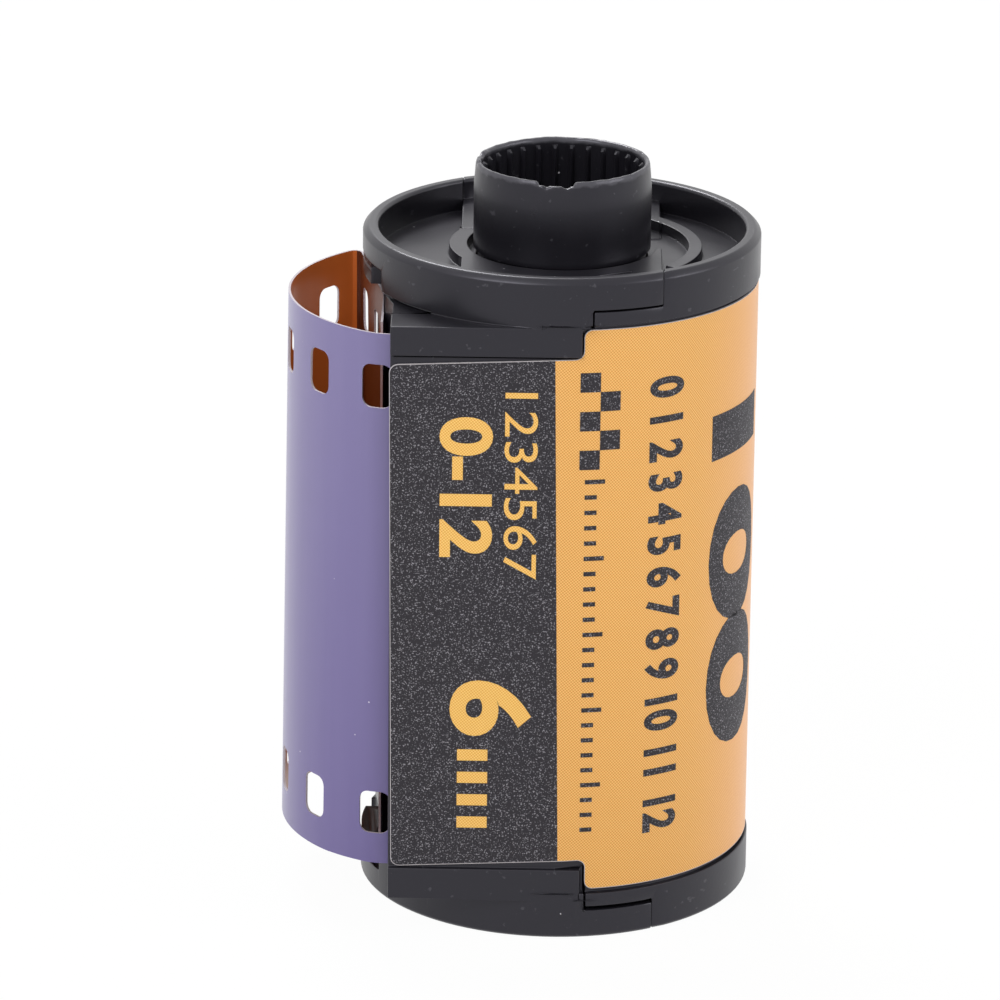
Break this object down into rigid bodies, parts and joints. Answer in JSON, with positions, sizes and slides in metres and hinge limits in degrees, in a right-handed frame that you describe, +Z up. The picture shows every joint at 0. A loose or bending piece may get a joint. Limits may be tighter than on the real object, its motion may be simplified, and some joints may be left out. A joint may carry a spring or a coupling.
{
  "type": "35 mm film cartridge",
  "caption": "Plastic 35 mm film cassette with a wrap-round label, a turning spool with a splined post and a perforated film leader curled out of its light trap.",
  "frame": {"origin": "spool axis at the plane of the lower rim, 0.4 mm below the fork socket's mouth", "axes": "+Z up the spool axis towards the long post, -X towards the end of the lip, -Y out of the lip's flat front face"},
  "size_m": [0.0297, 0.025, 0.0474],
  "materials": {
    "shell_plastic": "satin moulded black",
    "spool_plastic": "satin moulded black, worn at the post's mouth",
    "film_base": "glossy film, violet outside and orange-brown inside",
    "felt": "black light-trap plush",
    "label_paper": "printed label, satin",
    "tape": "adhesive tape"
  },
  "bodies": {
    "cartridge": {"lip_shell": "shell_plastic", "round_shell": "shell_plastic", "film_leader": "film_base", "front_felt": "felt", "rear_felt": "felt", "label": "label_paper"},
    "spool": {"spool": "spool_plastic", "film_roll": "film_base", "film_tape": "tape"}
  },
  "joints": [
    {"name": "spool_spin", "type": "hinge", "parent": "cartridge", "child": "spool", "pos_m": [0, 0, 0], "axis": [0, 0, 1], "continuous": true}
  ]
}
